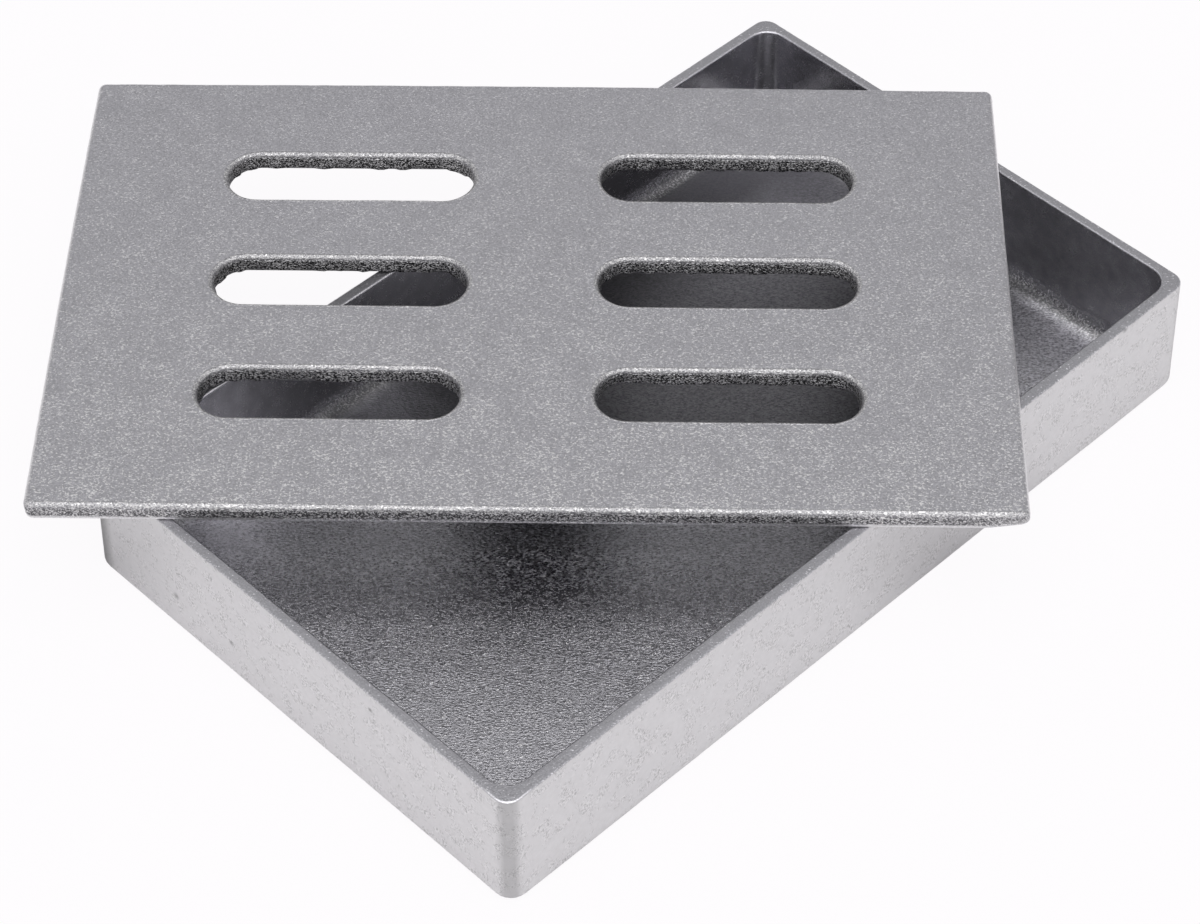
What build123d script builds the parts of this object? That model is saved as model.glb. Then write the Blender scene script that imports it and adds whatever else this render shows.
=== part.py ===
from build123d import *
from math import cos, radians, sin
import os

# Cast-iron smoker box: an open tray for wood chips and a loose slotted lid.
# Millimetres. The origin is the centre of the tray's underside, X runs along the tray's
# long side, Y along its short side, and Z is up.

# Tray: the outside, measured at the rim. The walls lean outwards down to the base.
tray_length = 210.0
tray_width = 130.3
tray_height = 31.7
tray_corner_radius = 3.5
tray_wall_lean = 1.9
base_edge_radius = 2.2

# Tray: the inside. The walls are measured at the rim, and the draft thickens them downwards.
side_wall_thickness = 3.0
end_wall_thickness = 2.65
floor_thickness = 3.5
cavity_draft = 1.5
cavity_radius = 5.0
rim_outer_radius = 0.5
rim_inner_radius = 0.4

# Lid: the plate, measured at its underside. The overhangs are what it stands past the tray
# on each side when it lies square on it, and the draft narrows it upwards.
lid_overhang_x = 0.5
lid_overhang_y = 2.6
lid_thickness = 4.35
lid_corner_radius = 2.0
lid_draft = 2.0
lid_top_edge_radius = 1.0
lid_bottom_edge_radius = 0.6

# Lid: the slots, measured from wall to wall at the lid's top face
slot_length = 56.7
slot_width = 14.35
slot_columns = 2
slot_rows = 3
slot_column_pitch = 86.0
slot_row_pitch = 34.6
slot_group_shift_x = -0.4
slot_group_shift_y = 0.95
slot_draft = 2.0
slot_top_edge_radius = 1.3
slot_bottom_chamfer = 0.4

# Where the lid lies: flat on the rim, turned and pushed back so that the inside shows
lid_turn = -45.6
lid_shift_x = -2.7
lid_shift_y = 33.45

os.makedirs("parts", exist_ok=True)

rim_plane = Plane.XY.offset(tray_height)
lid_plane = Plane(
    origin=(lid_shift_x, lid_shift_y, tray_height),
    x_dir=(cos(radians(lid_turn)), sin(radians(lid_turn)), 0),
    z_dir=(0, 0, 1),
)


# Tray: a block drawn down from the rim, a little wider at the base, and hollowed by a pocket
# that narrows towards its floor
with BuildPart() as tray:
    with BuildSketch(rim_plane):
        RectangleRounded(tray_length, tray_width, tray_corner_radius)
    extrude(amount=-tray_height, taper=-tray_wall_lean)

    with BuildSketch(rim_plane):
        Rectangle(tray_length - 2 * end_wall_thickness, tray_width - 2 * side_wall_thickness)
    extrude(amount=floor_thickness - tray_height, taper=cavity_draft, mode=Mode.SUBTRACT)

    # One radius runs round the floor and up the four inside corners, as on the casting's core
    floor_edges, corner_edges, _ = tray.edges(Select.LAST).group_by(Axis.Z)
    fillet(floor_edges + corner_edges, cavity_radius)

    rim_face = tray.faces().sort_by(Axis.Z)[-1]
    fillet(rim_face.inner_wires().edges(), rim_inner_radius)
    rim_face = tray.faces().sort_by(Axis.Z)[-1]
    fillet(rim_face.outer_wire().edges(), rim_outer_radius)
    base_face = tray.faces().sort_by(Axis.Z)[0]
    fillet(base_face.outer_wire().edges(), base_edge_radius)
tray.part.label = "tray"
export_step(tray.part, "parts/tray.step")


# Lid: a plate with columns of obround slots. The top edges are rounded most, and the slots'
# lower edges, which sit against the core in the mould, are only broken by a small chamfer.
with BuildPart() as lid:
    with BuildSketch(lid_plane):
        RectangleRounded(
            tray_length + 2 * lid_overhang_x,
            tray_width + 2 * lid_overhang_y,
            lid_corner_radius,
        )
    extrude(amount=lid_thickness, taper=lid_draft)

    with BuildSketch(lid_plane.offset(lid_thickness)):
        with Locations((slot_group_shift_x, slot_group_shift_y)):
            with GridLocations(slot_column_pitch, slot_row_pitch, slot_columns, slot_rows):
                SlotOverall(slot_length, slot_width)
    extrude(amount=-lid_thickness, taper=slot_draft, mode=Mode.SUBTRACT)

    top_face = lid.faces().sort_by(Axis.Z)[-1]
    fillet(top_face.inner_wires().edges(), slot_top_edge_radius)
    top_face = lid.faces().sort_by(Axis.Z)[-1]
    fillet(top_face.outer_wire().edges(), lid_top_edge_radius)
    bottom_face = lid.faces().sort_by(Axis.Z)[0]
    chamfer(bottom_face.inner_wires().edges(), slot_bottom_chamfer)
    bottom_face = lid.faces().sort_by(Axis.Z)[0]
    fillet(bottom_face.outer_wire().edges(), lid_bottom_edge_radius)
lid.part.label = "lid"
export_step(lid.part, "parts/lid.step")
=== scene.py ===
# %% [markdown]
# A cast-iron smoker box, dressed for its picture.
#
# The real object is two castings of grey iron: an open tray for wood chips, and a flat lid with
# six slots that lies loose on the tray's rim. Both leave the foundry rough: they are shaken out of
# a sand mould, blasted with steel shot, and only the tray's rim and outer walls are rubbed down
# further. So this scene is about one material in several states, and about the small lack of
# straightness that tells a casting from sheet metal.
#
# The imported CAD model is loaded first. It is the fixed frame: everything made here stands in its
# coordinates, in metres, with Z up and the tray's underside at zero.

from itertools import product
from math import cos, degrees, pi, radians, sin, tan

import bmesh
import bpy
import numpy as np
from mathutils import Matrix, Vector


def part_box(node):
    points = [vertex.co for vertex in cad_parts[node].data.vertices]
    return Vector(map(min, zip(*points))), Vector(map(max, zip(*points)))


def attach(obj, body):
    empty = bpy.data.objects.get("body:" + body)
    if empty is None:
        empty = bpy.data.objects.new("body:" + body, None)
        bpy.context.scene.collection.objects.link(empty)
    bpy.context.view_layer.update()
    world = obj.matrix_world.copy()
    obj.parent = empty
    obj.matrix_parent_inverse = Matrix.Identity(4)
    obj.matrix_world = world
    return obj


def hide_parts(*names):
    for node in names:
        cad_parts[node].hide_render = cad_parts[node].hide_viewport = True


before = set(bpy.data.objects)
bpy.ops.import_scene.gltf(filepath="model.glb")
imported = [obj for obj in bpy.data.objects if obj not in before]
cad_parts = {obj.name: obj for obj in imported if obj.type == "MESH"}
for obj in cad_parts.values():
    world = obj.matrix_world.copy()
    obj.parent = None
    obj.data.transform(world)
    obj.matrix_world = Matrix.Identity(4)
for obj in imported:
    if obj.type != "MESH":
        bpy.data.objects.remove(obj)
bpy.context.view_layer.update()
MM = 0.001
for node in ("tray", "lid"):
    low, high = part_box(node)
    print(node, "measures", [round((b - a) / MM, 2) for a, b in zip(low, high)], "mm")

# %% [markdown]
# The castings are made again here with a fine, even net of quads. The CAD faces are exact but
# their triangles are long and thin, so they can't carry the waviness of a casting. The sizes below
# are the pattern's own, in millimetres. They are those of the CAD model, but for the tray's inner
# rim and the lid's outer edges, which are rounder here: blasting wears such edges.

# %% Sizes of the two castings, in millimetres
TRAY_LENGTH, TRAY_WIDTH, TRAY_HEIGHT = 210.0, 130.3, 31.7
WALL_LEAN = radians(1.9)
RIM_CORNER, BASE_EDGE = 3.5, 2.2
SIDE_WALL, END_WALL, FLOOR = 3.0, 2.65, 3.5
CAVITY_DRAFT = radians(1.5)
CAVITY_RADIUS = 5.0
RIM_OUTER, RIM_INNER = 0.5, 0.6

LID_LENGTH, LID_WIDTH, LID_THICK = 211.0, 135.5, 4.35
LID_CORNER = 2.0
LID_DRAFT = radians(2.0)
LID_TOP_EDGE, LID_BOTTOM_EDGE = 1.35, 0.7
LID_TURN = radians(-45.6)
LID_PLACE = (-2.7, 33.45, TRAY_HEIGHT)

SLOT_LENGTH, SLOT_WIDTH = 56.7, 14.35
COLUMN_PITCH, ROW_PITCH = 86.0, 34.6
SLOTS_RIGHT_BY, SLOTS_BACK_BY = -0.4, 0.95
SLOT_COLUMNS = [SLOTS_RIGHT_BY - COLUMN_PITCH / 2, SLOTS_RIGHT_BY + COLUMN_PITCH / 2]
SLOT_ROWS = [SLOTS_BACK_BY - ROW_PITCH, SLOTS_BACK_BY, SLOTS_BACK_BY + ROW_PITCH]
SLOT_TOP_EDGE, SLOT_BOTTOM_CHAMFER = 1.3, 0.4
BOW_BACK, BOW_LEFT = 0.45, 0.25
TIP_REACH, RIGHT_TIP_CUT, LEFT_TIP_PUSH = 9, 1.7, 0.35
FLASH_OUT, FLASH_IN = -0.35, 0.45
# Each slot's own error, by row from the front and column: to the right, to the back, and longer
SLOT_ERRORS = [
    [(-0.2, -0.1, -0.2), (0.1, 0.0, 0.6)],
    [(-0.1, 0.0, -0.3), (0.1, 0.3, 0.6)],
    [(0.0, -0.4, -0.4), (0.1, 0.1, 0.6)],
]
# The larger pits in the tray's outer walls: where each is, and its radius
PITS = [
    ((-105.6, 37.6, 11.0), 1.1),
    ((-105.6, 19.5, 10.7), 0.9),
    ((-105.2, -25.1, 27.0), 0.8),
    ((83.3, -65.1, 31.3), 1.2),
]
NET = 1.25
RIM_STEPS, COVE_STEPS, EDGE_STEPS = 4, 8, 6
TRAY_CORNER_STEPS, LID_CORNER_STEPS = 6, 4
print("a net of", NET, "mm covers both castings")

# %% [markdown]
# A casting is smooth from far and uneven from near. The unevenness is a smooth noise in space: a
# lattice of seeded random numbers, blended between its points. Being a function of place alone, it
# gives neighbouring faces the same offset, so the skin never tears, and it gives the same casting on
# every run.

# %% A smooth, seeded unevenness
def lumps(points, size, seed):
    """Noise from -1 to 1 at each point, in lumps about size across."""
    side = 32
    lattice = np.random.default_rng(seed).uniform(-1, 1, (side, side, side))
    place = points / size
    cell = np.floor(place).astype(int)
    part = place - cell
    part = part * part * (3 - 2 * part)
    total = np.zeros(len(points))
    for corner in product((0, 1), repeat=3):
        weight = np.prod(np.where(corner, part, 1 - part), axis=1)
        i, j, k = ((cell + corner) % side).T
        total += weight * lattice[i, j, k]
    return total


sample = lumps(np.random.default_rng(1).uniform(0, 90, (500, 3)), 9.0, 2)
print("lumps run from", round(sample.min(), 2), "to", round(sample.max(), 2))

# %% [markdown]
# Both castings are rectangles with rounded corners at every height, so both skins are laid in the
# same way: ring after ring, each ring with the same number of points, joined by quads. A flat face
# closes with a grid whose edge is the last ring drawn down to a sharp-cornered rectangle. Points
# that fall together there are welded at the end.
#
# Each point also carries paint: how far it belongs to the inside, to the rim and so on. Those are
# kept as attributes of the mesh, and the iron's material reads them.

# %% Rings, grids and the skin that they make
def ring_points(half_x, half_y, radius, share_x, share_y, in_corner, height):
    """A ring round a rounded rectangle. The shares say where the points of a side fall along it."""
    flat_x, flat_y = half_x - radius, half_y - radius
    along_x = (2 * share_x[1:-1] - 1) * flat_x
    along_y = (2 * share_y[1:-1] - 1) * flat_y
    steps = [step / in_corner for step in range(in_corner + 1)]
    turns = [radians(90 * (quarter + step)) for quarter in range(4) for step in steps]
    arcs = np.array([(radius * cos(a), radius * sin(a)) for a in turns]).reshape(4, in_corner + 1, 2)
    sides = [
        arcs[0] + (flat_x, flat_y),
        np.column_stack([along_x[::-1], np.full(len(along_x), half_y)]),
        arcs[1] + (-flat_x, flat_y),
        np.column_stack([np.full(len(along_y), -half_x), along_y[::-1]]),
        arcs[2] + (-flat_x, -flat_y),
        np.column_stack([along_x, np.full(len(along_x), -half_y)]),
        arcs[3] + (flat_x, -flat_y),
        np.column_stack([np.full(len(along_y), half_x), along_y]),
    ]
    flat = np.concatenate(sides)
    return np.column_stack([flat, np.full(len(flat), height)])


class Skin:
    """The points, quads and paint of one casting, as they are laid."""

    def __init__(self, paints):
        self.paints = paints
        self.points, self.quads, self.paint = [], [], []
        self.count = 0

    def lay(self, points, **paint):
        numbers = np.arange(self.count, self.count + len(points))
        self.points.append(np.asarray(points, float))
        row = [paint.get(name, 0.0) for name in self.paints]
        self.paint.append(np.tile(row, (len(points), 1)))
        self.count += len(points)
        return numbers

    def join(self, one, other):
        self.quads.append(np.column_stack([one, np.roll(one, -1), np.roll(other, -1), other]))

    def fill(self, grid, keep=None):
        quads = np.stack([grid[:-1, :-1], grid[:-1, 1:], grid[1:, 1:], grid[1:, :-1]], axis=-1)
        self.quads.append(quads.reshape(-1, 4) if keep is None else quads[keep])

    def mesh(self, name):
        """Welds what was laid into one closed mesh, with its paint as attributes."""
        points = np.concatenate(self.points)
        paint = np.concatenate(self.paint)
        mesh = bpy.data.meshes.new(name)
        mesh.from_pydata(points.tolist(), [], np.concatenate(self.quads).tolist())
        for column, kind in enumerate(self.paints):
            layer = mesh.attributes.new(kind, "FLOAT", "POINT")
            layer.data.foreach_set("value", paint[:, column].astype(np.float32))
        work = bmesh.new()
        work.from_mesh(mesh)
        bmesh.ops.delete(work, geom=[v for v in work.verts if not v.link_faces], context="VERTS")
        bmesh.ops.remove_doubles(work, verts=work.verts, dist=0.001)
        bmesh.ops.recalc_face_normals(work, faces=work.faces)
        loose_edges = sum(not edge.is_manifold for edge in work.edges)
        work.to_mesh(mesh)
        work.free()
        print(name, len(mesh.vertices), "points", len(mesh.polygons), "faces", loose_edges, "open edges")
        return mesh


def bend(steps, start, end, radius, inset, height):
    """Points of a quarter bend, as (inset, height), from one angle to another in degrees."""
    angles = [radians(start + (end - start) * step / steps) for step in range(steps + 1)]
    return [(inset - radius * cos(a), height + radius * sin(a)) for a in angles]


def read(rows, what):
    """The points or normals of a mesh, as rows of three numbers."""
    flat = np.zeros(len(rows) * 3, np.float32)
    rows.foreach_get(what, flat)
    return flat.reshape(-1, 3).astype(float)


def move_to(mesh, points):
    """Puts the mesh's points in new places."""
    mesh.vertices.foreach_set("co", points.astype(np.float32).ravel())
    mesh.update()


def painted(mesh, *kinds):
    """The paints of those names, each with one number for every point."""
    found = []
    for kind in kinds:
        values = np.zeros(len(mesh.vertices), np.float32)
        mesh.attributes[kind].data.foreach_get("value", values)
        found.append(values.astype(float))
    return found


def repaint(mesh, **paints):
    """Writes new paint over the old, by name."""
    for kind, values in paints.items():
        mesh.attributes[kind].data.foreach_set("value", values.astype(np.float32))


print("rings and grids are ready")

# %% [markdown]
# The tray. Its section is one line, followed from the middle of the base, out and up the outer
# wall, which leans in a little as it rises, over the rim, down the drafted inner wall and round the
# cove into the floor. Every step of that line is an inset from the outside, a height and a corner
# radius, and becomes one ring.

# %% The tray's section, as rings
tray = Skin(["inside", "rim", "base", "corner", "covered"])
half_length, half_width = TRAY_LENGTH / 2, TRAY_WIDTH / 2
share_x = np.linspace(0, 1, round(TRAY_LENGTH / NET) + 1)
share_y = np.linspace(0, 1, round(TRAY_WIDTH / NET) + 1)
draft = tan(CAVITY_DRAFT)

section = []


def step_to(inset, height, corner, end_share=0.0, **paint):
    """Adds a ring: its inset from the sides, height and corner, and how far it is thinned at the ends."""
    thinned = inset - end_share * (SIDE_WALL - END_WALL)
    section.append((thinned, inset, height, corner, paint))


def leaning(height):
    """How far the outer wall stands out past the rim at a height."""
    return (TRAY_HEIGHT - height) * tan(WALL_LEAN)


step_to(5.0, 0.0, 0.0, base=1.0)
step_to(3.0, 0.0, 0.5, base=1.0)
lean = degrees(WALL_LEAN)
middle = BASE_EDGE / cos(WALL_LEAN) - leaning(BASE_EDGE)
for inset, height in bend(EDGE_STEPS, -90, lean, BASE_EDGE, middle, BASE_EDGE):
    step_to(inset, height, RIM_CORNER - inset)
wall_top = TRAY_HEIGHT - RIM_OUTER
for height in np.linspace(BASE_EDGE, wall_top, 26)[1:-1]:
    step_to(-leaning(height), height, RIM_CORNER + leaning(height))
middle = RIM_OUTER / cos(WALL_LEAN) - leaning(wall_top)
for step, (inset, height) in enumerate(bend(RIM_STEPS, lean, 90, RIM_OUTER, middle, wall_top)):
    step_to(inset, height, RIM_CORNER - inset, rim=step / RIM_STEPS)
rim_inset = SIDE_WALL - RIM_INNER
inner_corner = CAVITY_RADIUS + RIM_INNER
for share in (0.33, 0.67, 1.0):
    inset = RIM_OUTER + share * (rim_inset - RIM_OUTER)
    corner = (1 - share) * (RIM_CORNER - RIM_OUTER) + share * inner_corner
    step_to(inset, TRAY_HEIGHT, corner, share, rim=1.0)
for step in range(1, RIM_STEPS + 1):
    share = step / RIM_STEPS
    angle = radians(90 * share)
    inset = rim_inset + RIM_INNER * sin(angle)
    height = TRAY_HEIGHT - RIM_INNER * (1 - cos(angle))
    step_to(inset, height, inner_corner - (inset - rim_inset), 1.0, rim=1 - share, inside=share)
cove_top = FLOOR + CAVITY_RADIUS * (1 - sin(CAVITY_DRAFT))
for height in np.linspace(TRAY_HEIGHT - RIM_INNER, cove_top, 19)[1:]:
    step_to(SIDE_WALL + (TRAY_HEIGHT - height) * draft, height, CAVITY_RADIUS, 1.0, inside=1.0)
foot = SIDE_WALL + (TRAY_HEIGHT - cove_top) * draft
for step in range(1, COVE_STEPS + 1):
    angle = CAVITY_DRAFT + (pi / 2 - CAVITY_DRAFT) * step / COVE_STEPS
    inset = foot + CAVITY_RADIUS * (cos(CAVITY_DRAFT) - cos(angle))
    height = FLOOR + CAVITY_RADIUS * (1 - sin(angle))
    step_to(inset, height, max(CAVITY_RADIUS * cos(angle), 0.0), 1.0, inside=1.0)
print("the tray's section has", len(section), "rings")

# %% The tray's skin
rings = []
for inset_x, inset_y, height, corner, paint in section:
    half_x, half_y = half_length - inset_x, half_width - inset_y
    points = ring_points(half_x, half_y, corner, share_x, share_y, TRAY_CORNER_STEPS, height)
    rings.append(tray.lay(points, **paint))
    if len(rings) > 1:
        tray.join(rings[-2], rings[-1])
for inset_x, inset_y, height, _, paint in (section[0], section[-1]):
    across = (2 * share_x - 1) * (half_length - inset_x)
    along = (2 * share_y - 1) * (half_width - inset_y)
    sheet = [(x, y, height) for y in along for x in across]
    grid = tray.lay(sheet, **paint).reshape(len(along), len(across))
    tray.fill(grid)
tray_mesh = tray.mesh("tray_casting")

# %% [markdown]
# The lid. Its edge is laid in rings too, but its flat faces have six obround holes. Each slot gets a
# rectangular patch of the grid to itself. Every point on the patch's border is drawn straight
# towards the slot's centre line, which is a short segment, and where it meets the slot's outline
# there is a point of the slot's ring. The slot's wall is then more of the same rings, going down
# through the plate from the upper grid to the lower one.

# %% The lid's two grids, with a patch left open for each slot
lid = Skin(["edge", "wall", "under", "bare"])
lid_half_x, lid_half_y = LID_LENGTH / 2, LID_WIDTH / 2
FLAT_INSET = 2.0
PATCH_X, PATCH_Y = 33.0, 12.0


def net_lines(stops):
    """Grid lines through every stop, evenly spaced between them and about one net apart."""
    lines = [stops[0]]
    for low, high in zip(stops, stops[1:]):
        steps = max(1, round((high - low) / NET))
        lines.extend(low + (high - low) * (i + 1) / steps for i in range(steps))
    return np.array(lines)


edge_x, edge_y = lid_half_x - FLAT_INSET, lid_half_y - FLAT_INSET
stops_x = [-edge_x] + [c + s * PATCH_X for c in SLOT_COLUMNS for s in (-1, 1)] + [edge_x]
stops_y = [-edge_y] + [c + s * PATCH_Y for c in SLOT_ROWS for s in (-1, 1)] + [edge_y]
lines_x, lines_y = net_lines(stops_x), net_lines(stops_y)
lid_share_x = (lines_x / edge_x + 1) / 2
lid_share_y = (lines_y / edge_y + 1) / 2

patches = []
solid = np.ones((len(lines_y) - 1, len(lines_x) - 1), bool)
for (row, slot_y), (column, slot_x) in product(enumerate(SLOT_ROWS), enumerate(SLOT_COLUMNS)):
    left, right = (int(np.abs(lines_x - (slot_x + s * PATCH_X)).argmin()) for s in (-1, 1))
    front, back = (int(np.abs(lines_y - (slot_y + s * PATCH_Y)).argmin()) for s in (-1, 1))
    solid[front:back, left:right] = False
    right_by, back_by, longer = SLOT_ERRORS[row][column]
    patches.append((slot_x + right_by, slot_y + back_by, longer, left, right, front, back))
faces = {}
for height, paint in ((LID_THICK, {}), (0.0, {"under": 1.0})):
    sheet = [(x, y, height) for y in lines_y for x in lines_x]
    grid = lid.lay(sheet, **paint).reshape(len(lines_y), len(lines_x))
    lid.fill(grid, solid)
    faces[height] = grid
print("each face has", int(solid.sum()), "quads round", len(patches), "patches")

# %% The lid's edge and the walls of its slots
def edge_highlight_and_skin(down):
    """Paint over a rounded top edge, from 0 at the face to 1 at the wall: a painted highlight, then dark
    skin.
    """
    worn = min(down * 6, 1) * min(max(0.9 - down, 0) * 3, 1)
    return {"edge": worn, "wall": min(max(down * 2.5 - 1.5, 0), 1)}


lid_draft = tan(LID_DRAFT)
lid_section = [(FLAT_INSET, 0.0, 0.0, {"under": 1.0}), (1.2, 0.0, 0.8, {"under": 1.0})]
lower_steps = 3
lower_bend = bend(lower_steps, -90, 0, LID_BOTTOM_EDGE, LID_BOTTOM_EDGE, LID_BOTTOM_EDGE)
for step, (inset, height) in enumerate(lower_bend):
    share = step / lower_steps
    lid_section.append((inset, height, LID_CORNER - inset, {"under": 1 - share, "wall": share / 3}))
top_inset = LID_THICK * lid_draft
for share in (0.25, 0.5, 0.75, 1.0):
    height = LID_BOTTOM_EDGE + share * (LID_THICK - LID_TOP_EDGE - LID_BOTTOM_EDGE)
    lid_section.append((height * lid_draft, height, LID_CORNER - height * lid_draft, {"wall": 0.93}))
bend_inset = top_inset + LID_TOP_EDGE
top_bend = bend(EDGE_STEPS, 0, 90, LID_TOP_EDGE, bend_inset, LID_THICK - LID_TOP_EDGE)
for step, (inset, height) in enumerate(top_bend[1:], 1):
    lid_section.append((inset, height, LID_CORNER - inset, edge_highlight_and_skin(1 - step / EDGE_STEPS)))
lid_section.append((FLAT_INSET, LID_THICK, 0.0, {}))
ring = None
for inset, height, corner, paint in lid_section:
    half_x, half_y = lid_half_x - inset, lid_half_y - inset
    points = ring_points(half_x, half_y, corner, lid_share_x, lid_share_y, LID_CORNER_STEPS, height)
    last, ring = ring, lid.lay(points, **paint)
    if last is not None:
        lid.join(last, ring)

slot_section = []
for step in range(EDGE_STEPS + 1):
    angle = radians(90 * step / EDGE_STEPS)
    reach = SLOT_WIDTH / 2 + SLOT_TOP_EDGE * (1 - sin(angle))
    height = LID_THICK - SLOT_TOP_EDGE * (1 - cos(angle))
    slot_section.append((reach, height, edge_highlight_and_skin(step / EDGE_STEPS)))
for share in (0.33, 0.67, 1.0):
    height = LID_THICK - SLOT_TOP_EDGE - share * (LID_THICK - SLOT_TOP_EDGE - SLOT_BOTTOM_CHAMFER)
    slot_section.append((SLOT_WIDTH / 2 - (LID_THICK - height) * lid_draft, height, {"wall": 1.0}))
slot_section.append((slot_section[-1][0] + SLOT_BOTTOM_CHAMFER, 0.0, {"under": 1.0}))

for slot_x, slot_y, longer, left, right, front, back in patches:
    spine = (SLOT_LENGTH + longer - SLOT_WIDTH) / 2
    borders = {}
    for height, grid in faces.items():
        borders[height] = np.concatenate([
            grid[front, left:right],
            grid[front:back, right],
            grid[back, right:left:-1],
            grid[back:front:-1, left],
        ])
    laid = np.concatenate(lid.points)
    border = laid[borders[LID_THICK]][:, :2] - (slot_x, slot_y)
    root = np.column_stack([np.clip(border[:, 0], -spine, spine), np.zeros(len(border))])
    reach = np.linalg.norm(border - root, axis=1)
    way = (border - root) / reach[:, None]

    def slot_ring(out, height, **paint):
        flat = root + way * np.reshape(out, (-1, 1)) + (slot_x, slot_y)
        return lid.lay(np.column_stack([flat, np.full(len(flat), height)]), **paint)

    last = borders[LID_THICK]
    first_out = slot_section[0][0]
    for share in (0.25, 0.5, 0.75):
        ring = slot_ring(reach + (first_out - reach) * share, LID_THICK)
        lid.join(last, ring)
        last = ring
    for out, height, paint in slot_section:
        ring = slot_ring(np.full(len(reach), out), height, **paint)
        lid.join(last, ring)
        last = ring
    for share in (0.33, 0.67):
        ring = slot_ring(out + (reach - out) * share, 0.0, under=1.0)
        lid.join(last, ring)
        last = ring
    lid.join(last, borders[0.0])
lid_mesh = lid.mesh("lid_casting")

# %% [markdown]
# Now the unevenness. Sand moves a little as the iron fills it, and blasting rounds what is sharp,
# so every face sinks and swells by a few hundredths of a millimetre, and the edges wander by a
# tenth. Each point is moved along its own normal. The outsides are only ever moved into the metal,
# so that the castings stay inside the box of the CAD model.
#
# The tray gets its last paint here too, because it follows from where a point lies. The outer
# corners are painted darker, as painted shade. The half of the back wall towards -X is painted
# darker too, a painted shade for the corner that the photograph shows at the far left. From behind,
# that paint ends in a hard line at the middle of the wall, which is a known flaw. The rim's front
# corner has a painted highlight. The floor carries painted shade deep under the lid and at its far
# end, and less behind the lid's front edge. The rim carries painted shade where the lid lies on it.

# %% Unevenness and paint of the tray
LEAST_DEPTH = 0.015
CORNER_SHADE, BACK_SHADE = 0.45, 0.9
NOSE_INSET, NOSE_SIZE = 2.5, 3.5
DEEP_FROM, FAR_END_FROM = 26, 66
BAND_SHADE, FAR_END_SHADE = 0.42, 0.7


def ramp(values, start, length):
    """Rises from 0 at the start to 1 one length on. A negative length rises the other way."""
    return np.clip((values - start) / length, 0, 1)


def settle(mesh, depth):
    """Moves each point of the mesh into the metal by its depth, in millimetres."""
    normals = read(mesh.vertex_normals, "vector")
    move_to(mesh, read(mesh.vertices, "co") - normals * depth[:, None])
    print(mesh.name, "sinks by up to", round(float(depth.max()), 3), "mm")


at = read(tray_mesh.vertices, "co")
x, y, z = at.T
inside, rim, base = painted(tray_mesh, "inside", "rim", "base")

# Painted shade on the outer corners, narrowing towards the base, and on the back wall's half towards -X
turn = RIM_CORNER + leaning(z)
round_x = ramp(np.abs(x), half_length - RIM_CORNER, turn)
round_y = ramp(np.abs(y), half_width - RIM_CORNER, turn)
narrow = 1 + 2.5 * np.clip(1 - z / TRAY_HEIGHT, 0, 1)
corner = np.clip(1.5 * (2 * round_x * round_y) ** narrow, 0, 1) * CORNER_SHADE
half_of_back = ramp(y, half_width - 6, 3.5) * (x < 0)
corner = np.maximum(corner, half_of_back * BACK_SHADE) * (1 - inside) * (1 - rim)
# A painted highlight at the rim's front corner
from_nose = np.hypot(x + half_length - NOSE_INSET, y + half_width - NOSE_INSET)
nose_highlight = np.clip(1.6 - from_nose / NOSE_SIZE, 0, 1)
corner = np.maximum(corner, nose_highlight * (rim > 0.1))

aside = at[:, :2] - LID_PLACE[:2]
along_lid = aside[:, 0] * cos(LID_TURN) + aside[:, 1] * sin(LID_TURN)
across_lid = aside[:, 1] * cos(LID_TURN) - aside[:, 0] * sin(LID_TURN)
from_ends = LID_LENGTH / 2 - np.abs(along_lid)
under_lid = np.minimum(from_ends, LID_WIDTH / 2 - np.abs(across_lid))
deep = np.minimum(from_ends, across_lid + LID_WIDTH / 2 - DEEP_FROM)
# Painted shade: on the floor deep under the lid, more towards the back, and at its far end, lighter in
# the band under the lid's edges, and on the rim where the lid lies on it
darker_back = ramp(y, 28, 18) * (0.2 + 0.15 * ramp(x, 20, 30))
far_end = ramp(x, FAR_END_FROM, 20) * FAR_END_SHADE
covered = np.maximum(ramp(deep, 0, 16) * (1 + darker_back), far_end)
covered = np.maximum(covered, ramp(under_lid, 0, 18) * BAND_SHADE)
covered = covered * inside * ramp(z, 6.0, -1.6)
covered = np.maximum(covered, ramp(under_lid, 0, 3) * rim)
repaint(tray_mesh, corner=corner, covered=covered)

long_wave = lumps(at, 26.0, 11) * 0.09 + lumps(at, 9.0, 12) * 0.04
hammered = lumps(at, 4.0, 13) * 0.022
coarse = lumps(at, 2.4, 14) * 0.05 * np.clip(inside + 0.5 * rim, 0, 1)
tray_depth = 0.07 + long_wave * 0.5 * (1 - 0.5 * rim) + hammered + coarse
settle(tray_mesh, np.maximum(tray_depth, LEAST_DEPTH) * (1 - base))
print("the dark paint inside the tray has a mean of", round(float(covered[inside == 1].mean()), 2))

# %% [markdown]
# The lid is a plate from one flat sand face, and plates come out less true than boxes. Its back
# edge bows out and its left edge bows in, each by less than half a millimetre. Both front corners
# were dressed from below: the right one is cut upwards over its last 9 mm, the left one is rounded.
# The lower edge of every slot wanders both ways, where the mould's two halves met. Only the front
# edge and the slots keep the dark, beaded skin. Towards the ends of the front edge the skin is a
# little weaker, a painted reflection of the pale floor below. The other three edges lose the skin.
# The tops of the left and right edges, and the lower bend of the front one, most of all near its
# ends, are painted light as a reflection of the pale floor. The right tip, cut from below, is bare.

# %% Shape, paint and unevenness of the lid
at = read(lid_mesh.vertices, "co")
swell = 1 - np.clip(np.abs(at[:, :2]) / (lid_half_x, lid_half_y), 0, 1) ** 2
to_back = np.clip(at[:, 1] / lid_half_y, 0, 1) ** 3 * swell[:, 0]
to_left = np.clip(-at[:, 0] / lid_half_x, 0, 1) ** 3 * swell[:, 1]
unmoved = np.zeros(len(at))
at = at + np.column_stack([-BOW_LEFT * to_left, BOW_BACK * to_back, unmoved])

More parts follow.
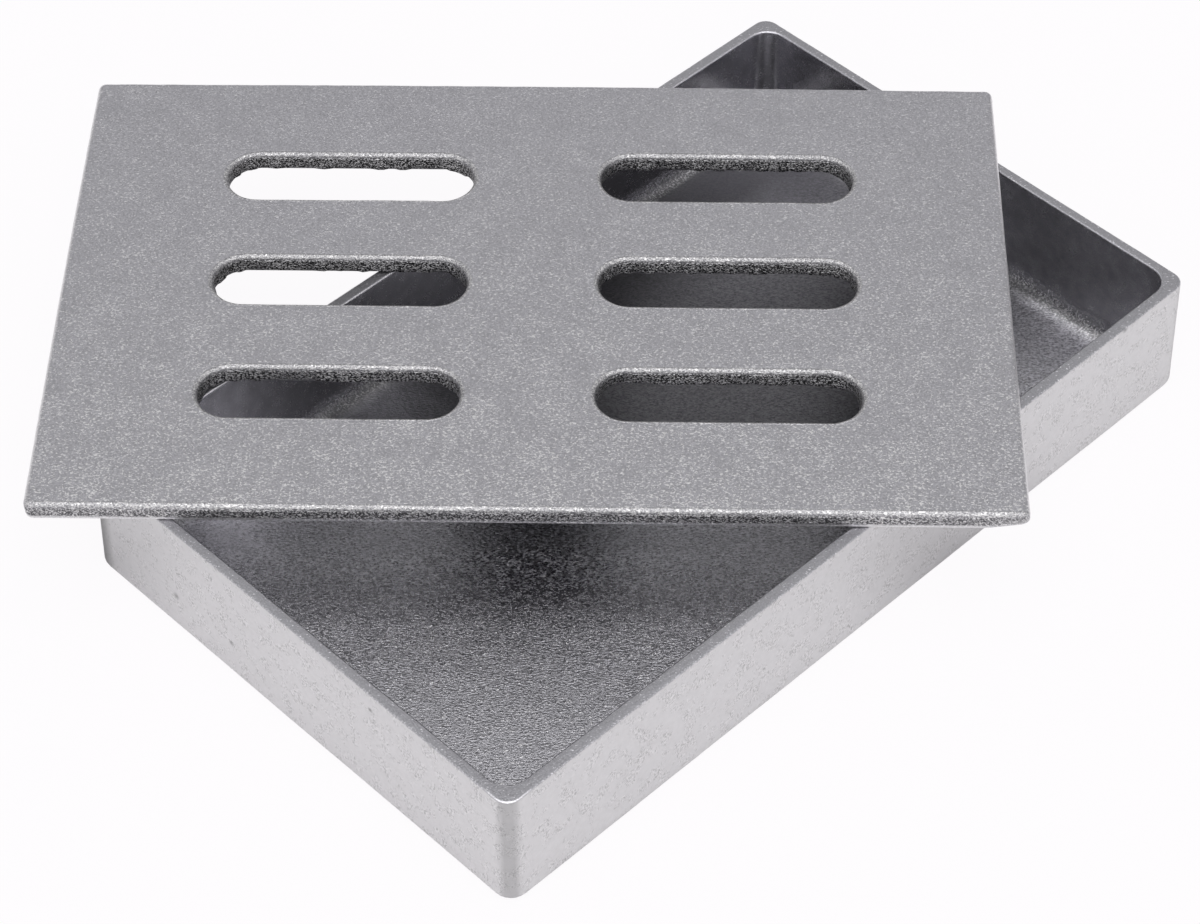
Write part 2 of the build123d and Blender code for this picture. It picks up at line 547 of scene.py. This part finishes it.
x, y, z = at.T
low_down = np.clip(1 - z / 3.4, 0, 1)
right_tip = ramp(x, lid_half_x - TIP_REACH, TIP_REACH) * ramp(y, TIP_REACH - lid_half_y, -TIP_REACH)
left_tip = np.clip(1 - np.hypot(x + lid_half_x, y + lid_half_y) / TIP_REACH, 0, 1)
pushed, raised = left_tip * low_down * LEFT_TIP_PUSH, right_tip * low_down * RIGHT_TIP_CUT
at = at + np.column_stack([pushed, unmoved, raised])
move_to(lid_mesh, at)

x, y, z = at.T
edge, wall, under = painted(lid_mesh, "edge", "wall", "under")
outermost = np.maximum(np.abs(x) - edge_x, np.abs(y) - edge_y) > -0.1
off_front = ramp(y, 0.5 - lid_half_y, 2.5) * outermost
calmed = 1 - off_front * 0.9
# Painted reflection of the pale floor on the tops of the left and right edges and on the lower bend of
# the front edge; the cut right tip is bare metal
bare_from = LID_THICK - np.where(x < 0, 0.04, 0.3)
bare = off_front * (np.abs(x) > edge_x + 0.1) * ramp(z, bare_from, -0.25)
bare = np.maximum(bare, right_tip * low_down * (wall > 0))
rubbed_bend = ramp(z, 1.0, -0.3) * outermost * (wall > 0)
bare = np.maximum(bare, rubbed_bend * (0.15 + 0.7 * ramp(np.abs(x), 40, 25)))
# The front edge's skin is weaker towards its ends, a painted reflection of the pale floor below
ends = ramp(np.abs(x), 55, 35) * outermost
repaint(lid_mesh, edge=edge * calmed, wall=wall * calmed * (1 - ends * 0.13), bare=bare)

lid_wave = lumps(at, 30.0, 21) * 0.03 + lumps(at, 8.0, 22) * 0.02
wander = lumps(at, 7.0, 23) * 0.08 + lumps(at, 2.6, 24) * 0.09
flash = lumps(at * (1, 1, 0.3), 2.3, 25) * 0.95 + lumps(at, 6.0, 26) * 0.10
within = (np.abs(x) < edge_x) & (np.abs(y) < edge_y)
low_in_slots = ramp(z, 2.4, -1.6) * wall * within
lid_depth = np.maximum(0.06 + lid_wave + wander * 0.5 * np.clip(edge + wall, 0, 1), LEAST_DEPTH)
settle(lid_mesh, lid_depth * (1 - under) + np.clip(flash, FLASH_OUT, FLASH_IN) * low_in_slots)

# %% [markdown]
# The lid was laid square at the origin. It is turned and laid on the rim as the photograph shows it,
# and both meshes go from millimetres to metres.

# %% Setting both castings in their places
x, y, z = read(lid_mesh.vertices, "co").T
turned_x = cos(LID_TURN) * x - sin(LID_TURN) * y
turned_y = sin(LID_TURN) * x + cos(LID_TURN) * y
move_to(lid_mesh, (np.column_stack([turned_x, turned_y, z]) + LID_PLACE) * MM)
move_to(tray_mesh, read(tray_mesh.vertices, "co") * MM)

castings = {}
for name, mesh in (("tray", tray_mesh), ("lid", lid_mesh)):
    mesh.shade_smooth()
    piece = bpy.data.objects.new(name + "_casting", mesh)
    bpy.context.scene.collection.objects.link(piece)
    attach(piece, name)
    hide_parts(name)
    castings[name] = piece
print("castings:", sorted(castings))

# %% [markdown]
# A material is sums and products of patterns, and those read best as arithmetic. `Wire` wraps the
# output of a node and turns the Python operators into Math nodes. `Finish` is a material under
# construction: its method `node` adds any other node, its settings first and its sockets after.

# %% Shader maths as plain arithmetic
class Wire:
    """A number that varies over the surface: one output socket of a material's node."""

    def __init__(self, finish, socket):
        self.finish, self.socket = finish, socket

    def maths(self, operation, *values, clamp=False):
        settings = {"operation": operation, "use_clamp": clamp}
        return self.finish.node("ShaderNodeMath", settings, dict(enumerate(values)))

    def __add__(self, other):
        return self.maths("ADD", self, other)

    def __sub__(self, other):
        return self.maths("SUBTRACT", self, other)

    def __rsub__(self, other):
        return self.maths("SUBTRACT", other, self)

    def __mul__(self, other):
        return self.maths("MULTIPLY", self, other)

    def __truediv__(self, other):
        return self.maths("DIVIDE", self, other)

    def __pow__(self, other):
        return self.maths("POWER", self, other)

    __radd__ = __add__

    def held(self):
        """The same number, held between 0 and 1."""
        return self.maths("ADD", self, 0.0, clamp=True)

    def over(self, level, sharpness):
        """0 up to a level, then rising that sharply to 1."""
        return ((self - level) * sharpness).held()

    def ramp(self, start, length):
        """Rises from 0 at the start to 1 one length on."""
        return ((self - start) / length).held()

    def contrast(self, strength, middle=0.5):
        """A grain's spread about 0.5, made that many times stronger and set about a new middle."""
        return ((self - 0.5) * strength + middle).held()


class Finish:
    """A material being made, and the few moves that make it."""

    def __init__(self, name):
        self.material = bpy.data.materials.new(name)
        self.material.use_nodes = True
        self.tree = self.material.node_tree
        self.shader = self.tree.nodes["Principled BSDF"]
        self.place = self.node("ShaderNodeTexCoord", {}, {}, "Object")

    def node(self, kind, settings, sockets, output=0):
        made = self.tree.nodes.new(kind)
        for name, value in settings.items():
            setattr(made, name, value)
        for key, value in sockets.items():
            self.feed(made.inputs[key], value)
        return Wire(self, made.outputs[output])

    def feed(self, socket, value):
        if isinstance(value, Wire):
            self.tree.links.new(value.socket, socket)
        else:
            socket.default_value = value

    def wear(self, **sockets):
        """Feeds the shader's own sockets, written with _ for a space."""
        for name, value in sockets.items():
            self.feed(self.shader.inputs[name.replace("_", " ")], value)

    def grain(self, size, detail=2.0, roughness=0.5, stretch=0.0, place=None):
        """Noise from about 0 to 1, with grains of that size in millimetres."""
        sockets = {"Vector": place or self.place, "Scale": 1 / (size * MM), "Detail": detail}
        sockets.update({"Roughness": roughness, "Distortion": stretch})
        return self.node("ShaderNodeTexNoise", {}, sockets)

    def along(self, way):
        """How far the surface lies along a direction, in metres."""
        settings = {"operation": "DOT_PRODUCT"}
        return self.node("ShaderNodeVectorMath", settings, {0: self.place, 1: way}, "Value")

    def stretched(self, turn, times):
        """The place, drawn out that many times along an axis turned by those degrees."""
        sockets = {"Vector": self.place, "Rotation": [radians(a) for a in turn], "Scale": (times, 1, 1)}
        return self.node("ShaderNodeMapping", {"vector_type": "TEXTURE"}, sockets)

    def distance(self, place):
        """How far the surface is from a place given in millimetres."""
        point = [value * MM for value in place]
        settings = {"operation": "DISTANCE"}
        return self.node("ShaderNodeVectorMath", settings, {0: self.place, 1: point}, "Value")

    def paint(self, name):
        return self.node("ShaderNodeAttribute", {"attribute_name": name}, {}, "Fac")

    def mix(self, mask, one, other):
        """A colour that goes from one to the other as the mask goes from 0 to 1."""
        settings = {"data_type": "RGBA", "clamp_factor": True}
        return self.node("ShaderNodeMix", settings, {0: mask, 6: one, 7: other}, 2)

    def dress(self, piece, colour, dull, height, depth):
        """Gives a piece this finish, as bare metal with a relief of that depth in millimetres."""
        relief = {"Strength": 1.0, "Distance": depth * MM, "Height": height}
        bump = self.node("ShaderNodeBump", {}, relief)
        self.wear(Base_Color=colour, Metallic=1.0, Roughness=dull, Normal=bump)
        piece.data.materials.append(self.material)
        print(self.material.name, "has", len(self.tree.nodes), "nodes")


def iron(grey, blue=1.02):
    """A grey of bare iron, given as it shows on a screen from 0 to 255, with a faint cold cast."""
    def light(level):
        level = min(level / 255, 1.0)
        return level / 12.92 if level <= 0.04045 else ((level + 0.055) / 1.055) ** 2.4

    return (light(grey), light(grey * 0.994), light(grey * blue), 1.0)


TO_FRONT = (-0.70, -0.71, 0.0)
print("a grey of 156 is written", [round(c, 3) for c in iron(156)[:3]])

# %% [markdown]
# Blasted iron. Shot leaves a close, dull dimpling, and where a dimple's flank faces the lamp it
# glints, so the lid is grey from far and full of fine light specks from near. Those specks are
# painted glints, with bumps under them. They crowd in some places and thin out in others, and they
# are painted denser and brighter towards the front, with the face a little lighter towards the
# back: painted light. The walls of the front edge and of the slots face sideways and were blasted
# less: they keep the dark skin of the mould, with light beads painted on it as glints. The rounded
# edges above them carry a painted highlight of bright specks, and the underside is painted darker,
# as shade.

# %% The lid's iron
lid_iron = Finish("lid_blasted_iron")
edge, wall, under, bare = (lid_iron.paint(kind) for kind in ("edge", "wall", "under", "bare"))
fine = lid_iron.grain(0.42, 2.0, 0.65)
speck = lid_iron.grain(0.40, 2.0, 0.6, 0.6, place=lid_iron.stretched((12, 8, -45.6), 1.5))
patch = lid_iron.grain(9.0, 3.0, 0.6)
pock = lid_iron.grain(2.2, 1.0, 0.4)
# The specks are painted glints, denser and brighter towards the front, and the face is painted lighter
# towards the back: painted light
to_front = (lid_iron.along(TO_FRONT) * 5.0 + 0.55).held()
crowd = 0.60 - to_front * 0.062 - (patch - 0.5) * 0.14 - edge * 0.05
specks = speck.over(crowd, 15)
shade = ((fine - 0.5) * 3.2 + (patch - 0.5) * 0.4 - (to_front - 0.5) * 0.25 + 0.5).held()
skin = lid_iron.mix(shade, iron(171), iron(197))
bright = lid_iron.mix(specks * (to_front * 0.6 + 0.4), skin, iron(255, 0.994))
beads = speck.over(0.56, 9)
clump = lid_iron.grain(0.30, 1.0, 0.6, 0.0, place=lid_iron.stretched((8, 5, -45.6), 1.5))
# On the rounded edges: a painted highlight of bright specks over clumped grey
worn = lid_iron.mix(clump.contrast(5.0), iron(142), iron(206, 1.0))
rough_wall = lid_iron.mix(clump.contrast(8.0, 0.10), iron(54), iron(198, 1.005))
colour = lid_iron.mix(edge, bright, lid_iron.mix(specks * 0.8, worn, iron(234, 0.994)))
# Light beads painted on the dark walls as glints
colour = lid_iron.mix(wall, colour, lid_iron.mix(beads * 0.7, rough_wall, iron(240, 0.994)))
# The underside is painted darker, as shade
colour = lid_iron.mix(under, colour, lid_iron.mix(shade, iron(126), iron(148)))
# Painted reflection of the pale floor on the edges, and bare metal on the cut right tip
colour = lid_iron.mix(bare, colour, lid_iron.mix(shade, iron(216, 1.0), iron(242, 1.0)))
dull = 0.45 + (fine - 0.5) * 0.25 - specks * 0.12 + wall * 0.06
height = fine * 0.65 + pock * 0.3 + specks * 0.4
height = height + edge * (fine * 0.4 + clump * 1.1) + wall ** 4 * clump * 2.2
lid_iron.dress(castings["lid"], colour, dull, height, 0.13)

# %% [markdown]
# The tray wears the same iron in three states. Outside it is rubbed smooth and nearly white, with
# patches of fine slanting cuts and a few pits. Its outer corners and half of its back wall are
# painted darker, as painted shade. The rim is ground flat, with painted glints on it and along its
# edges, and a painted highlight at its front corner. Inside it is as it came from the core: the
# floor has the close grain of the sand, with glints painted into its colour, and the walls, which
# slid along the core as it shrank, are smoother. The back wall is painted the lightest, as painted
# light. The floor and the rim under the lid, and the floor's far end, carry painted shade and glint
# less, as the photograph shows them. Where the floor turns up into the walls, a band of grains is
# painted light, a painted highlight.

# %% The tray's iron
tray_iron = Finish("tray_iron_in_three_states")
inside, rim, corner, covered = (tray_iron.paint(kind) for kind in ("inside", "rim", "corner", "covered"))
drawn = tray_iron.stretched((0, 0, -45), 1.7)
sand = tray_iron.grain(0.36, 2.0, 0.65, place=drawn)
grit = tray_iron.grain(0.36, 1.0, 0.5, place=drawn)
fine = tray_iron.grain(0.4, 1.0, 0.5)
rubbed = tray_iron.grain(3.4, 3.0, 0.55)
dimple = tray_iron.grain(1.3, 2.0, 0.5)
strokes = tray_iron.grain(0.30, 1.0, 0.5, place=tray_iron.stretched((0, -35, 45), 6.0))

pits = 0.0
for place, size in PITS:
    pits = pits + (1 - tray_iron.distance(place) / (size * MM)).held()

patches = rubbed.over(0.46, 6)
worn = ((strokes - 0.5) * 5.0 * patches + (dimple - 0.5) * 0.5 + 0.5).held()
cut = ((0.43 - strokes) * 20).held() * patches
outer = tray_iron.mix(cut * 0.8, tray_iron.mix(worn, iron(195, 1.0), iron(219, 1.0)), iron(170, 1.0))
# The corner paint is painted shade on the outer corners and the back wall's half; the pits are darker
outer = tray_iron.mix((corner + pits * 0.9).held(), outer, iron(136, 1.0))

rim_edge = (rim * (1 - rim) * 4).held()
# Painted glints on the rim and along its edges, and a painted highlight at its front corner
sparks = grit.over(0.66, 14) * (rim * 3).held()
ground = tray_iron.mix(fine.contrast(2.0), iron(164), iron(188))
beaded = fine.over(0.5, 8) * rim_edge
ground = tray_iron.mix((sparks + beaded * 0.35 + rim_edge * corner).held(), ground, iron(252))
# Painted shade on the rim under the lid
ground = tray_iron.mix(covered * (1 - rim_edge * 0.7) * 0.6, ground, iron(84))

up = tray_iron.along((0.0, 0.0, 1.0))
sheer = up.ramp(0.0055, 0.004)
cove = up.ramp(0.0037, 0.0008) * (1 - up.ramp(0.0052, 0.0012))
sanded = 1 - sheer * 0.88
# Glints are painted into the colour, and there are fewer of them under the painted shade
glint = grit.over(0.60, 16) * sanded ** 3 * (1 - covered * 2.2).held()
grained = (sand - 0.5) * 5 * sanded * (1 - covered * 0.5)
cored = tray_iron.mix((grained + 0.5).held(), iron(152), iron(230))
# The back inner wall is painted lighter, as painted light
back_wall = tray_iron.along((0.0, 1.0, 0.0)).ramp(0.050, 0.008)
slid = tray_iron.mix(((rubbed - 0.5) + 0.2 + back_wall * 0.7).held(), iron(192), iron(250))
cored = tray_iron.mix(sheer, cored, slid)
# Painted shade under the lid and at the floor's far end
cored = tray_iron.mix(covered ** 2 * 0.46, cored, iron(60))
# A painted highlight on the cove, where the floor turns up into the walls
cored = tray_iron.mix(cove * (grit.over(0.5, 8) * 0.7 + 0.2), cored, iron(255))
cored = tray_iron.mix(glint * 0.9, cored, iron(255))

colour = tray_iron.mix(inside, tray_iron.mix((rim * 2).held(), outer, ground), cored)
dull = 0.34 + (rubbed - 0.5) * 0.1 + rim * 0.08
dull = dull + inside * ((sand - 0.5) * 0.2 - 0.10 + covered.held() * 0.16)
smooth = rubbed * 0.4 + dimple * 0.3 + strokes * 0.25 + fine * 0.08 - cut * 0.3 - pits * 0.9
smooth = smooth + rim_edge * grit * 0.5 + rim * fine * 0.2
calm = 1 - (covered * 1.6).held() * 0.5
height = inside * (sand * 0.9 * sanded * calm + glint * 1.6) + (1 - inside) * smooth
tray_iron.dress(castings["tray"], colour, dull, height, 0.22)

# %% [markdown]
# The stage is a plain pale floor. Bare metal shows what stands round it, so the surroundings matter
# more than the lamp. The walls mirror the lit floor and come out nearly white. The lid mirrors the
# duller space behind it. Rounded edges and the flanks of the grain turn towards the roof lamp and
# the brighter space behind the camera, and these draw the light lines and the glints.

# %% Floor, light and surroundings
def pale_floor(grey):
    """A matt floor whose shadows are thinned where the camera sees them."""
    plain = Finish("pale_floor")
    fleck = plain.grain(40.0)
    plain.wear(Base_Color=plain.mix(fleck, iron(grey, 1.0), iron(grey + 2, 1.0)), Roughness=0.9)
    seen = plain.node("ShaderNodeLightPath", {}, {}, "Is Camera Ray")
    white = plain.node("ShaderNodeEmission", {}, {"Color": iron(254, 1.0), "Strength": 1.0})
    lit = Wire(plain, plain.shader.outputs[0])
    thinned = plain.node("ShaderNodeMixShader", {}, {0: seen * 0.96, 1: lit, 2: white})
    surface = plain.tree.nodes["Material Output"].inputs["Surface"]
    plain.feed(surface, thinned)
    return plain.material


floor_mesh = bpy.data.meshes.new("floor")
REACH = 6.0
floor_corners = [(x * REACH, y * REACH, 0.0) for x, y in ((-1, -1), (1, -1), (1, 1), (-1, 1))]
floor_mesh.from_pydata(floor_corners, [], [(0, 1, 2, 3)])
floor = bpy.data.objects.new("floor", floor_mesh)
bpy.context.scene.collection.objects.link(floor)
floor.data.materials.append(pale_floor(247))


def soft_lamp(name, place, target, width, depth, brightness):
    """A square lamp, as bright as a white card in full light times its brightness."""
    data = bpy.data.lights.new(name, "AREA")
    data.shape = "RECTANGLE"
    data.size, data.size_y = width, depth
    data.energy = brightness * pi * width * depth
    lamp = bpy.data.objects.new(name, data)
    lamp.location = place
    lamp.rotation_euler = (Vector(target) - Vector(place)).to_track_quat("-Z", "Y").to_euler()
    bpy.context.scene.collection.objects.link(lamp)


soft_lamp("roof_lamp", (-0.25, -0.23, 1.55), (0.0, 0.0, 0.0), 1.2, 1.2, 1.9)


class Surroundings(Finish):
    """The space round the stage, made with the same moves as a material."""

    def __init__(self, name):
        self.world = bpy.data.worlds.new(name)
        self.world.use_nodes = True
        self.tree = self.world.node_tree
        self.shader = self.tree.nodes["Background"]
        self.place = self.node("ShaderNodeTexCoord", {}, {}, "Generated")


studio = Surroundings("studio")
above = studio.along((0.0, 0.0, 1.0)).ramp(0.10, 0.45)
behind_camera = studio.along(TO_FRONT).held()
level = 0.56 + behind_camera * above * 1.3
studio.wear(Color=studio.mix(level * 0.5, (0.0, 0.0, 0.0, 1.0), (1.0, 1.0, 1.01, 1.0)), Strength=2.0)
bpy.context.scene.world = studio.world
bpy.context.scene.view_settings.view_transform = "Standard"

# %% [markdown]
# The camera stands where the photographer's stood, found from the vanishing lines of both
# rectangles: well above the table and to the left, looking down 47 degrees with a long lens.

# %% The camera
lens = bpy.data.cameras.new("camera")
lens.lens = 101.091
lens.sensor_width = 36.0
lens.clip_start, lens.clip_end = 0.05, 50.0
camera = bpy.data.objects.new("camera", lens)
camera.location = (-0.36920, -0.36286, 0.55608)
camera.rotation_euler = [radians(a) for a in (43.0402, 0.2649, -44.5388)]
bpy.context.scene.collection.objects.link(camera)
bpy.context.scene.camera = camera
print("the camera is", round(camera.location.length, 3), "m from the tray")
